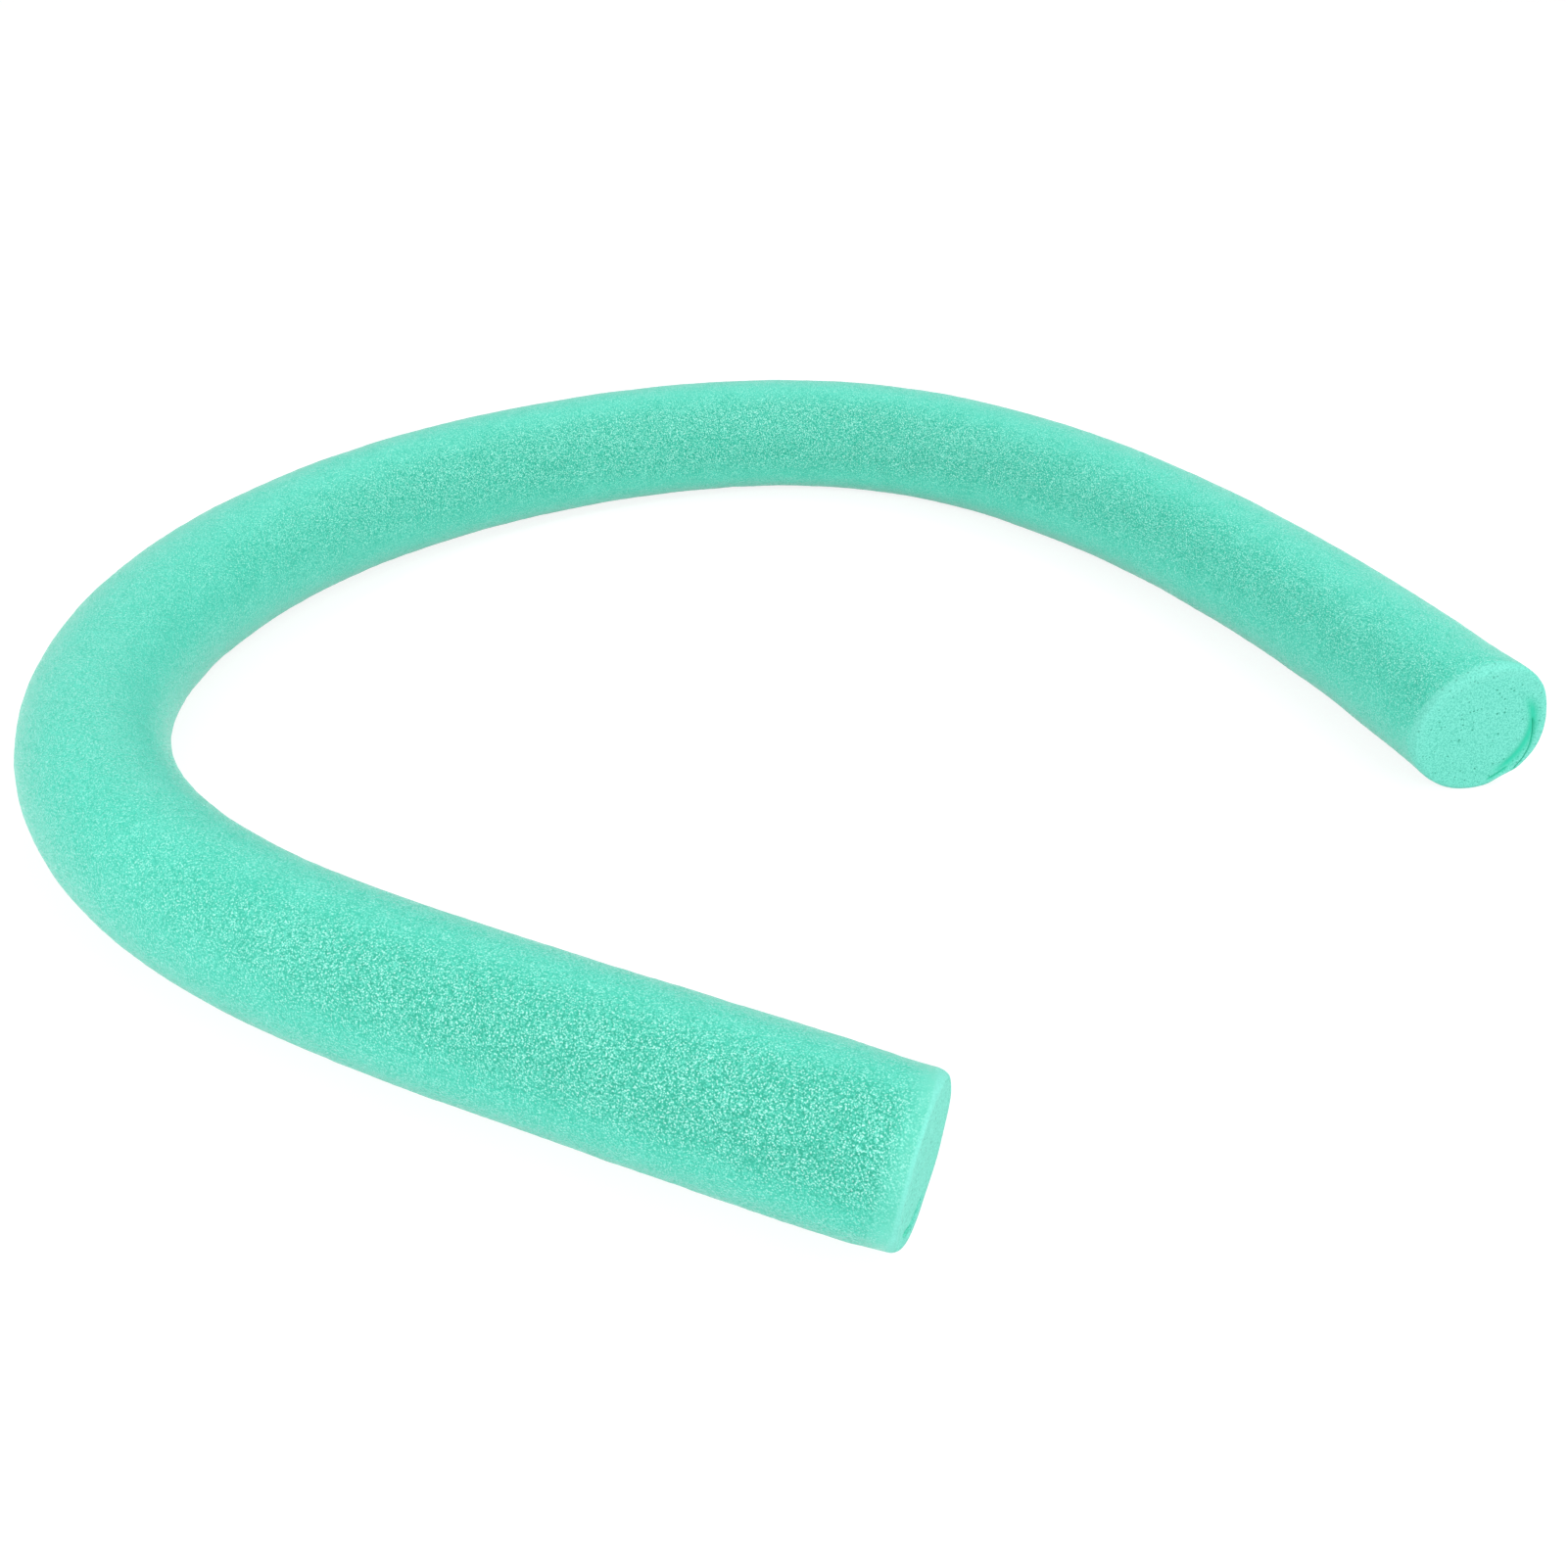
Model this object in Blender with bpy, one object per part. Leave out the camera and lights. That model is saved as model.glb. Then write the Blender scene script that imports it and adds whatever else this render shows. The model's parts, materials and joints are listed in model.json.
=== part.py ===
"""Pool noodle: one solid round rod of closed-cell foam, lying on its side in an open C.

The rod is a single extrusion with two cut ends and no bore. Foam bends all along its length, so the rod
is divided into equal lengths, and each length turns on the next about an upright axis in the middle of
the rod. One side of each such joint is a barrel and the other is a cup round it, and both are cut from
the rod's own round surface, so the rod stays whole and smooth as it bends.

Metres, +Z up. The rod rests on z = 0 with its middle over the origin. +X runs to the right and +Y runs
away from someone who looks into the C from its open side.
"""

import math
from dataclasses import dataclass

import bmesh
import bpy
import numpy as np
from mathutils import Matrix, Vector

# The rod
NOODLE_DIAMETER = 0.065
NOODLE_LENGTH = 1.5

# How far each even stretch of the rod turns as it lies, in degrees, from the near end to the far end.
# The rod turns to the right all the way, so every value is a turn the same way.
REST_TURNS_DEG = (0.5, 0.5, 8, 20.5, 27, 23.5, 18.5, 15.5, 14, 12.5, 23, 28.5, 14, 9.5, 7, 9)
START_HEADING_DEG = 157.6

# The two cut ends. Nothing beyond a cut bends the foam, so the rod's last stretch stays straight.
# A skewed cut reaches further on the rod's left.
STRAIGHT_END = 0.020
RIM_ROUNDING_LENGTH = 0.009
RIM_ROUNDING_DEPTH = 0.004
NEAR_CUT_SKEW_DEG = 0.0
FAR_CUT_SKEW_DEG = 6.0

# The equal lengths that the rod is divided into, and the joints between them
LENGTH_COUNT = 24
TURNING_GAP = 0.00045
LARGEST_SWING_DEG = 20.0

# How finely the rod is faceted
SECTION_SIDES = 32
FACETS_PER_LENGTH = 4
RIM_STEPS = 3
CENTRELINE_SAMPLES = 2000
HALVINGS = 40
SMOOTH_BELOW_DEG = 30.0

# The foam's colour and surface
FOAM_COLOUR = (0.141, 0.716, 0.539, 1.0)
FOAM_ROUGHNESS = 0.62
FOAM_METALLIC = 0.0

STRETCH_COUNT = len(REST_TURNS_DEG)
STRETCH_EACH = NOODLE_LENGTH / STRETCH_COUNT
LENGTH_EACH = NOODLE_LENGTH / LENGTH_COUNT
MIDDLE_LENGTH = LENGTH_COUNT // 2

# The section is a regular polygon drawn round the true circle, with one flat facing down to rest on.
ROD_RADIUS = NOODLE_DIAMETER / 2
CORNER_RADIUS = ROD_RADIUS / math.cos(math.pi / SECTION_SIDES)

# The cup clears the barrel by the turning gap. Its side edges lie far enough from the joint's axis to stay
# off the next length's side at the largest swing.
CUP_RADIUS = CORNER_RADIUS + TURNING_GAP
SIDE_CONTACT_TURN = math.acos(ROD_RADIUS / CUP_RADIUS)
CUP_EDGE_SETBACK = CUP_RADIUS * math.sin(math.radians(LARGEST_SWING_DEG) - SIDE_CONTACT_TURN)


@dataclass(frozen=True)
class Cut:
    """A flat cut end: where it lies along the rod, which way the foam is from it, and its skew."""

    station: float
    inwards: int
    skew_deg: float


NEAR_CUT = Cut(station=0.0, inwards=1, skew_deg=NEAR_CUT_SKEW_DEG)
FAR_CUT = Cut(station=NOODLE_LENGTH, inwards=-1, skew_deg=FAR_CUT_SKEW_DEG)


class Centreline:
    """The curve that the middle of the rod follows, in plan, measured along the rod from the near end."""

    def __init__(self):
        self.stations = np.linspace(0.0, NOODLE_LENGTH, CENTRELINE_SAMPLES + 1)
        mid_stretches = (np.arange(STRETCH_COUNT) + 0.5) * STRETCH_EACH
        bend = -np.radians(np.interp(self.stations, mid_stretches, REST_TURNS_DEG)) / STRETCH_EACH
        by_near_cut = self.stations < STRAIGHT_END
        by_far_cut = self.stations > NOODLE_LENGTH - STRAIGHT_END
        bend[by_near_cut | by_far_cut] = 0.0
        self.headings = math.radians(START_HEADING_DEG) + self.summed(bend)
        self.xs = self.summed(np.cos(self.headings))
        self.ys = self.summed(np.sin(self.headings))

    def summed(self, rate):
        """Add up a rate from the near end to every station."""
        step = self.stations[1] - self.stations[0]
        return np.concatenate([[0.0], np.cumsum((rate[1:] + rate[:-1]) / 2) * step])

    def heading(self, station):
        """The direction of the rod at a station, in radians from +X."""
        return float(np.interp(station, self.stations, self.headings))

    def point(self, station, across=0.0, up=0.0):
        """A point of the rod: across to its left and up from its middle, on the section at a station."""
        turn = self.heading(station)
        beyond = max(station - NOODLE_LENGTH, 0.0) + min(station, 0.0)
        x = float(np.interp(station, self.stations, self.xs)) + beyond * math.cos(turn)
        y = float(np.interp(station, self.stations, self.ys)) + beyond * math.sin(turn)
        return Vector((x - across * math.sin(turn), y + across * math.cos(turn), ROD_RADIUS + up))


def section_corners(radius):
    """The corners of the rod's section, as across and up, from the left side over the top and round."""
    step = 2 * math.pi / SECTION_SIDES
    angles = [(corner + 0.5) * step for corner in range(SECTION_SIDES)]
    return [(radius * math.cos(angle), radius * math.sin(angle)) for angle in angles]


def ring_points(line, stations, radius=CORNER_RADIUS):
    """One point on each corner line of the rod, for a section of the given corner radius."""
    corners = section_corners(radius)
    return [line.point(station, across, up) for station, (across, up) in zip(stations, corners)]


def station_at_reach(line, hinge_station, across, reach):
    """Where a line along the rod, this far across it, gets as far as reach from a joint's axis in plan."""
    hinge = line.point(hinge_station)
    low = hinge_station
    high = hinge_station + 2 * reach
    for _ in range(HALVINGS):
        middle = (low + high) / 2
        if (line.point(middle, across) - hinge).length < reach:
            low = middle
        else:
            high = middle
    return low


def barrel_stations(line, joint):
    """Where each corner line of the rod ends on the barrel round a joint's axis."""
    hinge_station = joint * LENGTH_EACH
    corners = section_corners(CORNER_RADIUS)
    return [station_at_reach(line, hinge_station, across, CORNER_RADIUS) for across, _ in corners]


def cup_stations(line, joint):
    """Where each corner line of the rod starts on the cup round a joint's axis."""
    stations = []
    for across, _ in section_corners(CORNER_RADIUS):
        reach = max(CUP_RADIUS, math.hypot(across, CUP_EDGE_SETBACK))
        stations.append(station_at_reach(line, joint * LENGTH_EACH, across, reach))
    return stations


def cut_stations(cut, setback, radius=CORNER_RADIUS):
    """Where each corner line reaches the plane that lies parallel to a cut, set back into the foam."""
    slope = math.tan(math.radians(cut.skew_deg))
    return [cut.station + cut.inwards * setback + slope * across for across, _ in section_corners(radius)]


def rim_rings(line, cut):
    """The rings that round a cut end's rim, from the cut's flat face inwards."""
    rings = []
    for step in range(RIM_STEPS):
        angle = math.pi / 2 * step / RIM_STEPS
        setback = RIM_ROUNDING_LENGTH * (1 - math.cos(angle))
        radius = CORNER_RADIUS - RIM_ROUNDING_DEPTH * (1 - math.sin(angle))
        rings.append(ring_points(line, cut_stations(cut, setback, radius), radius))
    return rings


def body_rings(line, start_stations, end_stations):
    """Rings along one length, evenly spaced on each corner line between its two end surfaces."""
    rings = []
    for facet in range(FACETS_PER_LENGTH + 1):
        share = facet / FACETS_PER_LENGTH
        stations = [start + (end - start) * share for start, end in zip(start_stations, end_stations)]
        rings.append(ring_points(line, stations))
    return rings


def length_rings(line, index):
    """All rings of one length of the rod, from its near surface to its far surface."""
    rim_stations = {cut: cut_stations(cut, RIM_ROUNDING_LENGTH) for cut in (NEAR_CUT, FAR_CUT)}
    is_near_end = index == 0
    is_far_end = index == LENGTH_COUNT - 1
    start_stations = rim_stations[NEAR_CUT] if is_near_end else cup_stations(line, index)
    end_stations = rim_stations[FAR_CUT] if is_far_end else barrel_stations(line, index + 1)
    rings = body_rings(line, start_stations, end_stations)
    if is_near_end:
        rings = rim_rings(line, NEAR_CUT) + rings
    if is_far_end:
        rings = rings + rim_rings(line, FAR_CUT)[::-1]
    return rings


def close_flat(bm, ring):
    """Close a cut end with its flat face."""
    bm.faces.new(ring)


def close_upright(bm, ring):
    """Close a barrel or a cup with upright strips, each between two corners above and two below."""
    last = SECTION_SIDES - 1
    for corner in range(SECTION_SIDES // 2 - 1):
        bm.faces.new((ring[corner], ring[corner + 1], ring[last - corner - 1], ring[last - corner]))


def length_mesh(name, rings, frame, index):
    """Skin one length's rings and close its two ends, with the mesh in its object's own frame."""
    to_local = frame.inverted()
    bm = bmesh.new()
    ring_verts = [[bm.verts.new(to_local @ point) for point in ring] for ring in rings]
    for ring, following in zip(ring_verts, ring_verts[1:]):
        for corner in range(SECTION_SIDES):
            other = (corner + 1) % SECTION_SIDES
            bm.faces.new((ring[corner], ring[other], following[other], following[corner]))
    close_near = close_flat if index == 0 else close_upright
    close_far = close_flat if index == LENGTH_COUNT - 1 else close_upright
    close_near(bm, ring_verts[0])
    close_far(bm, ring_verts[-1])
    bmesh.ops.recalc_face_normals(bm, faces=bm.faces[:])
    mesh = bpy.data.meshes.new(name)
    bm.to_mesh(mesh)
    bm.free()
    mesh.shade_smooth()
    mesh.set_sharp_from_angle(angle=math.radians(SMOOTH_BELOW_DEG))
    return mesh


def foam_material(name):
    """Matt mint-green foam."""
    material = bpy.data.materials.new(name)
    material.use_nodes = True
    shader = material.node_tree.nodes["Principled BSDF"]
    shader.inputs["Base Color"].default_value = FOAM_COLOUR
    shader.inputs["Roughness"].default_value = FOAM_ROUGHNESS
    shader.inputs["Metallic"].default_value = FOAM_METALLIC
    return material


def resting_middle(all_rings):
    """The middle of the rod's outline in plan."""
    points = [point for rings in all_rings for ring in rings for point in ring]
    xs = [point.x for point in points]
    ys = [point.y for point in points]
    return Vector(((min(xs) + max(xs)) / 2, (min(ys) + max(ys)) / 2, 0.0))


def origin_station(index):
    """Where a length's origin lies: on the joint that it turns on, or midway on the one in the middle."""
    if index < MIDDLE_LENGTH:
        return (index + 1) * LENGTH_EACH
    if index > MIDDLE_LENGTH:
        return index * LENGTH_EACH
    return (index + 0.5) * LENGTH_EACH


def length_frame(line, index, shift):
    """A length's own frame: its origin, with local +X along the rod there."""
    station = origin_station(index)
    turn = Matrix.Rotation(line.heading(station), 4, "Z")
    return Matrix.Translation(line.point(station) - shift) @ turn


def build_noodle():
    """Build the rod's lengths and hang each one on its neighbour towards the middle of the rod."""
    line = Centreline()
    all_rings = [length_rings(line, index) for index in range(LENGTH_COUNT)]
    shift = resting_middle(all_rings)
    frames = [length_frame(line, index, shift) for index in range(LENGTH_COUNT)]
    pieces = []
    for index, (rings, frame) in enumerate(zip(all_rings, frames)):
        name = f"foam_length_{index + 1:02d}"
        placed = [[point - shift for point in ring] for ring in rings]
        piece = bpy.data.objects.new(name, length_mesh(name, placed, frame, index))
        piece.data.materials.append(foam_material(name))
        bpy.context.collection.objects.link(piece)
        pieces.append(piece)
    for index, piece in enumerate(pieces):
        if index == MIDDLE_LENGTH:
            piece.matrix_local = frames[index]
            continue
        carrier = index + 1 if index < MIDDLE_LENGTH else index - 1
        piece.parent = pieces[carrier]
        piece.matrix_local = frames[carrier].inverted() @ frames[index]


def main():
    """Clear the scene's objects and build the noodle."""
    for leftover in list(bpy.data.objects):
        bpy.data.objects.remove(leftover, do_unlink=True)
    build_noodle()


main()
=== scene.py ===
"""Looks of a solid foam pool noodle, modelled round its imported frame.

The noodle is one closed-cell foam extrusion: a round rod with a fine pebbled skin and two cut ends, lying
in an open C. It is dressed in one stretch of foam for each joint of the frame. Each stretch runs from the
middle of one length to the middle of the next and bends across the joint between them, and the first and
the last stretch carry the cut ends. The stretches meet on shared rings, so the skin is unbroken.

Every point of the skin has a place on the rod as it would be straight: x along the rod from the near end,
y to the rod's left and z up from its middle. The relief and the grain follow that straight place, so
they run on over the stretches and stay on the foam as it bends.
"""

import itertools
import json
import logging
import math
from collections.abc import Callable
from dataclasses import dataclass, field
from enum import Enum

import bmesh
import bpy
import numpy as np
from mathutils import Matrix, Vector


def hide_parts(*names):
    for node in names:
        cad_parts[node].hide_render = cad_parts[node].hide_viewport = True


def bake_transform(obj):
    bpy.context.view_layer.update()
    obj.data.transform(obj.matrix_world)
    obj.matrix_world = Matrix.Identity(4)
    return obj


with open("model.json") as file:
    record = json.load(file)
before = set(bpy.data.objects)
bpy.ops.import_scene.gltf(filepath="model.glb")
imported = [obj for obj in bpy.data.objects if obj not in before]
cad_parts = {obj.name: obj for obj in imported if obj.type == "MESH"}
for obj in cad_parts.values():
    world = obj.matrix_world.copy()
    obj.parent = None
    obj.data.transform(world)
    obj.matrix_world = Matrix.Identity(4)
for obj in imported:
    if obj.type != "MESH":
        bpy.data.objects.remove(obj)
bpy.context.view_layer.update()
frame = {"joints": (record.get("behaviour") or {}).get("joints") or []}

log = logging.getLogger("pool_noodle")

MM = 0.001
WHITE = (1.0, 1.0, 1.0, 1.0)

Colour = tuple[float, float, float, float]
Socket = bpy.types.NodeSocket


class Stretch(Enum):
    """Which stretch of the noodle a piece is."""

    NEAR_END = "near_cut_end"
    MIDDLE = "foam_bend"
    FAR_END = "far_cut_end"


class Part(Enum):
    """What kind of part of a mesh is selected."""

    EDGE = "EDGE"
    FACE = "FACE"


def eased(share: np.ndarray) -> np.ndarray:
    """Ease a share from 0 to 1, level at both ends."""
    kept = np.clip(share, 0.0, 1.0)
    return kept * kept * (3.0 - 2.0 * kept)


def smooth_noise(places: np.ndarray, size: float, seed: int) -> np.ndarray:
    """Smooth random heights over space, each from about -1 to 1.

    Args:
        places: points, one a row, in metres.
        size: how far apart the swells lie, in metres.
        seed: which pattern.

    Returns:
        One height for each point.
    """
    entries = 256
    gain = 1.6
    source = np.random.default_rng(seed)
    shuffled = source.permutation(entries)
    slopes = source.normal(size=(entries, 3))
    slopes /= np.linalg.norm(slopes, axis=1)[:, None]
    scaled = places / size
    cells = np.floor(scaled).astype(int)
    inside = scaled - cells
    # This ease is level in slope and in curvature at both ends, so no cell border shows.
    blend = inside**3 * (inside * (inside * 6.0 - 15.0) + 10.0)
    heights = np.zeros(len(places))
    for corner in itertools.product((0, 1), repeat=3):
        lattice = cells + np.array(corner)
        chosen = shuffled[lattice[:, 0] % entries]
        chosen = shuffled[(chosen + lattice[:, 1]) % entries]
        chosen = shuffled[(chosen + lattice[:, 2]) % entries]
        ramp = np.sum(slopes[chosen] * (inside - np.array(corner)), axis=1)
        heights += ramp * np.prod(np.where(corner, blend, 1.0 - blend), axis=1)
    return heights * gain


@dataclass(frozen=True)
class RodPath:
    """The level curve that the middle of the noodle follows, measured along it from the near end."""

    radius: float = 32.5 * MM
    length: float = 1.5
    rest_turns_deg: tuple[float, ...] = (
        0.5, 0.5, 8, 20.5, 27, 23.5, 18.5, 15.5, 14, 12.5, 23, 28.5, 14, 9.5, 7, 9,
    )
    start_heading_deg: float = 157.6
    straight_end: float = 20 * MM
    samples: int = 2000
    stations: np.ndarray = field(init=False, repr=False)
    headings: np.ndarray = field(init=False, repr=False)
    middles: np.ndarray = field(init=False, repr=False)

    def __post_init__(self) -> None:
        """Work out the curve from how far each even stretch of the rod turns."""
        stretch = self.length / len(self.rest_turns_deg)
        stations = np.linspace(0.0, self.length, self.samples + 1)
        mid_stretches = (np.arange(len(self.rest_turns_deg)) + 0.5) * stretch
        bend = -np.radians(np.interp(stations, mid_stretches, self.rest_turns_deg)) / stretch
        bend[(stations < self.straight_end) | (stations > self.length - self.straight_end)] = 0.0
        headings = math.radians(self.start_heading_deg) + self.summed(stations, bend)
        middles = np.stack([self.summed(stations, turn(headings)) for turn in (np.cos, np.sin)], axis=1)
        object.__setattr__(self, "stations", stations)
        object.__setattr__(self, "headings", headings)
        object.__setattr__(self, "middles", middles)

    @staticmethod
    def summed(stations: np.ndarray, rate: np.ndarray) -> np.ndarray:
        """Add up a rate from the near end to every station.

        Args:
            stations: evenly spaced places along the rod.
            rate: the rate at each of them.

        Returns:
            The sum up to each station.
        """
        step = stations[1] - stations[0]
        return np.concatenate([[0.0], np.cumsum((rate[1:] + rate[:-1]) / 2.0) * step])

    def middle(self, stations: np.ndarray) -> np.ndarray:
        """Where the rod's middle lies in plan, straight on beyond the ends.

        Args:
            stations: how far along the rod each place is.

        Returns:
            The places, one a row.
        """
        beyond = np.maximum(stations - self.length, 0.0) + np.minimum(stations, 0.0)
        heading = np.interp(stations, self.stations, self.headings)
        plan = [np.interp(stations, self.stations, self.middles[:, axis]) for axis in (0, 1)]
        on_curve = np.stack(plan, axis=1)
        return on_curve + beyond[:, None] * np.stack([np.cos(heading), np.sin(heading)], axis=1)

    def moved_to(self, stations: np.ndarray, places: np.ndarray) -> "RodPath":
        """Move the curve in plan, so that it passes through known places.

        Args:
            stations: where on the rod the places are.
            places: the places in plan, one a row.

        Returns:
            The same path, moved.
        """
        shift = np.mean(places - self.middle(stations), axis=0)
        object.__setattr__(self, "middles", self.middles + shift)
        return self

    def bent(self, straight: np.ndarray) -> np.ndarray:
        """Carry points of the straight rod to where they lie on the bent one.

        Args:
            straight: points on the straight rod, one a row: along, to the left, up from the middle.

        Returns:
            The points in the frame, one a row.
        """
        along, across, up = straight.T
        heading = np.interp(along, self.stations, self.headings)
        left = np.stack([-np.sin(heading), np.cos(heading)], axis=1)
        plan = self.middle(along) + across[:, None] * left
        return np.column_stack([plan, self.radius + up])


@dataclass(frozen=True)
class Swell:
    """One scale of the skin's unevenness: how far apart its swells lie and how high they stand."""

    size: float
    height: float
    seed: int


@dataclass(frozen=True)
class Relief:
    """The shape of the skin beyond a true round rod: swells of several sizes and the dents of handling."""

    swells: tuple[Swell, ...] = (
        Swell(size=90 * MM, height=0.30 * MM, seed=3),
        Swell(size=28 * MM, height=0.22 * MM, seed=5),
        Swell(size=9 * MM, height=0.12 * MM, seed=8),
        Swell(size=3.2 * MM, height=0.10 * MM, seed=13),
    )
    dent_count: int = 90
    dent_widths: tuple[float, float] = (4 * MM, 13 * MM)
    dent_depths: tuple[float, float] = (0.10 * MM, 0.35 * MM)
    dent_seed: int = 21

    def heights(self, straight: np.ndarray, radius: float, length: float) -> np.ndarray:
        """How far the skin stands out from the round rod.

        Args:
            straight: points of the straight rod's surface, one a row.
            radius: the rod's radius.
            length: the rod's length.

        Returns:
            A height for each point, in metres.
        """
        heights = np.zeros(len(straight))
        for swell in self.swells:
            heights += swell.height * smooth_noise(straight, swell.size, swell.seed)
        for middle, width, depth in self.dents(radius, length):
            reach = np.abs(straight[:, 0] - middle[0]) < 2.0 * width
            away = np.linalg.norm(straight[reach] - middle, axis=1)
            heights[reach] -= depth * np.exp(-((away / (width / 2.0)) ** 2))
        return heights

    def dents(self, radius: float, length: float) -> list[tuple[np.ndarray, float, float]]:
        """Lay the dents at random over the rod.

        Args:
            radius: the rod's radius.
            length: the rod's length.

        Returns:
            The middle, width and depth of each dent.
        """
        source = np.random.default_rng(self.dent_seed)
        dents = []
        for _ in range(self.dent_count):
            angle = source.uniform(0.0, 2.0 * math.pi)
            along = source.uniform(0.0, length)
            middle = np.array([along, radius * math.cos(angle), radius * math.sin(angle)])
            dents.append((middle, source.uniform(*self.dent_widths), source.uniform(*self.dent_depths)))
        return dents


@dataclass(frozen=True)
class Crease:
    """A groove pressed into a cut face along an arc round its middle, with a lip on the outer side.

    Angles are seen on the straight rod's section, from its left side over the top.
    """

    radius: float
    drift: float
    from_deg: float
    to_deg: float
    inner_width: float
    outer_width: float
    depth: float
    lip_height: float = 0.0
    lip_width: float = 1.0 * MM
    fade_share: float = 0.25

    def parts(self, across: np.ndarray, up: np.ndarray) -> tuple[np.ndarray, np.ndarray]:
        """How much of the groove and of the lip lies at each place of the face.

        Args:
            across: how far to the left each place is.
            up: how far above the middle each place is.

        Returns:
            The shares of the groove and of the lip, from 0 to 1.
        """
        angle = np.degrees(np.arctan2(up, across))
        share = (angle - self.from_deg) / (self.to_deg - self.from_deg)
        fade = eased(share / self.fade_share) * eased((1.0 - share) / self.fade_share)
        offset = np.hypot(across, up) - (self.radius + self.drift * np.clip(share, 0.0, 1.0))
        width = np.where(offset < 0.0, self.inner_width, self.outer_width)
        groove = np.exp(-((offset / width) ** 2)) * fade
        lip_offset = offset - self.outer_width - self.lip_width
        lip = np.exp(-((lip_offset / self.lip_width) ** 2)) * fade
        return groove, lip


@dataclass(frozen=True)
class Rim:
    """The rounding between the skin and a cut face: how far it reaches back along the rod and inwards."""

    reach: float
    depth: float


@dataclass(frozen=True)
class SideDent:
    """A dent at one side of the rod, deepest at the cut end; a bulge where its depth is negative."""

    middle_deg: float
    spread_deg: float
    depth: float
    reach: float

    def depths(self, from_cut: np.ndarray, angles: np.ndarray) -> np.ndarray:
        """How deep the dent is.

        Args:
            from_cut: how far from the cut each point is.
            angles: where round the section each point is.

        Returns:
            A depth for each point, below 0 where it bulges.
        """
        turned = np.angle(np.exp(1j * (angles - math.radians(self.middle_deg))))
        beside = eased(1.0 - np.abs(turned) / math.radians(self.spread_deg))
        return self.depth * beside * eased(1.0 - from_cut / self.reach)


@dataclass(frozen=True)
class Girth:
    """How the rod's girth changes near a cut end: a flare, a waist behind it and dents at its sides."""

    flare_height: float
    flare_reach: float
    waist_depth: float
    waist_back: float
    waist_width: float
    dents: tuple[SideDent, ...]

    def heights(self, from_cut: np.ndarray, angles: np.ndarray) -> np.ndarray:
        """How far the rod stands out.

        Args:
            from_cut: how far from the cut each point is.
            angles: where round the section each point is.

        Returns:
            A height for each point.
        """
        flare = self.flare_height * eased(1.0 - from_cut / self.flare_reach)
        waist = self.waist_depth * np.exp(-(((from_cut - self.waist_back) / self.waist_width) ** 2))
        return flare - waist - sum(dent.depths(from_cut, angles) for dent in self.dents)


@dataclass(frozen=True)
class CutEnd:
    """A cut end of the rod: its skewed face, its rim, its girth, and the creases in it.

    Angles are seen on the straight rod's section, from its left side over the top.
    """

    station: float
    inwards: int
    longer: float
    skew_deg: float
    lean_deg: float
    tight_rim: Rim
    soft_rim: Rim
    soft_side_deg: float
    girth: Girth
    creases: tuple[Crease, ...]
    face_wave: Swell
    rim_wave: Swell
    band_width: float = 6.0 * MM
    band_blur: float = 6.0 * MM
    band_paleness: float = 0.20
    calm_reach: float = 4.0 * MM
    ring_crowding: float = 1.35
    rim_softness: float = 1.3
    soft_spread: float = 1.2
    on_face_share: float = 1e-5
    relief_rise: float = 1.5
    face_fall: float = 1.3
    cut_until: float = 0.72
    cut_blur: float = 0.22

    def rim_at(self, angles: np.ndarray) -> tuple[np.ndarray, np.ndarray]:
        """How the rim is rounded round the rod.

        Args:
            angles: where round the section each point is.

        Returns:
            The rim's reach and depth at each angle.
        """
        softness = eased((1.0 + np.cos(angles - math.radians(self.soft_side_deg))) / self.soft_spread)
        reach = self.tight_rim.reach + (self.soft_rim.reach - self.tight_rim.reach) * softness
        depth = self.tight_rim.depth + (self.soft_rim.depth - self.tight_rim.depth) * softness
        return reach, depth

    def rounded(self, radius: float, travel: np.ndarray, angles: np.ndarray) -> dict[str, np.ndarray]:
        """Lay a travel from the face's middle, out over the rim and back along the rod, on the rim.

        Args:
            radius: the rod's radius.
            travel: how far each point has come over the sharp edge of the blank.
            angles: where round the section each point is.

        Returns:
            How far back from the cut and how far from the rod's middle each point lies, and how far it
            has come over the rim, from 0 on the face to 1 on the skin.
        """
        reach, depth = self.rim_at(angles)
        over = np.clip((travel - radius + depth) / (reach + depth), 0.0, 1.0)
        turn = over * math.pi / 2.0
        back = reach * (1.0 - np.cos(turn)) ** self.rim_softness
        out = radius - depth * (1.0 - np.sin(turn)) ** self.rim_softness
        return {
            "from_cut": back + np.maximum(travel - radius - reach, 0.0),
            "from_middle": np.where(over > 0.0, out, travel),
            "over": over,
        }


@dataclass(frozen=True)
class Fineness:
    """How finely the foam's mesh is divided."""

    sides: int = 240
    spacing: float = 0.85 * MM
    face_spacing: float = 0.8 * MM
    rim_spacing: float = 0.35 * MM
    rim_rings: int = 20
    most_rings: int = 101
    crease_cuts: int = 2
    crease_share: float = 0.1
    facing_share: float = 0.9
    smooth_below_deg: float = 40.0
    normal_step: float = 0.4 * MM


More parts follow.
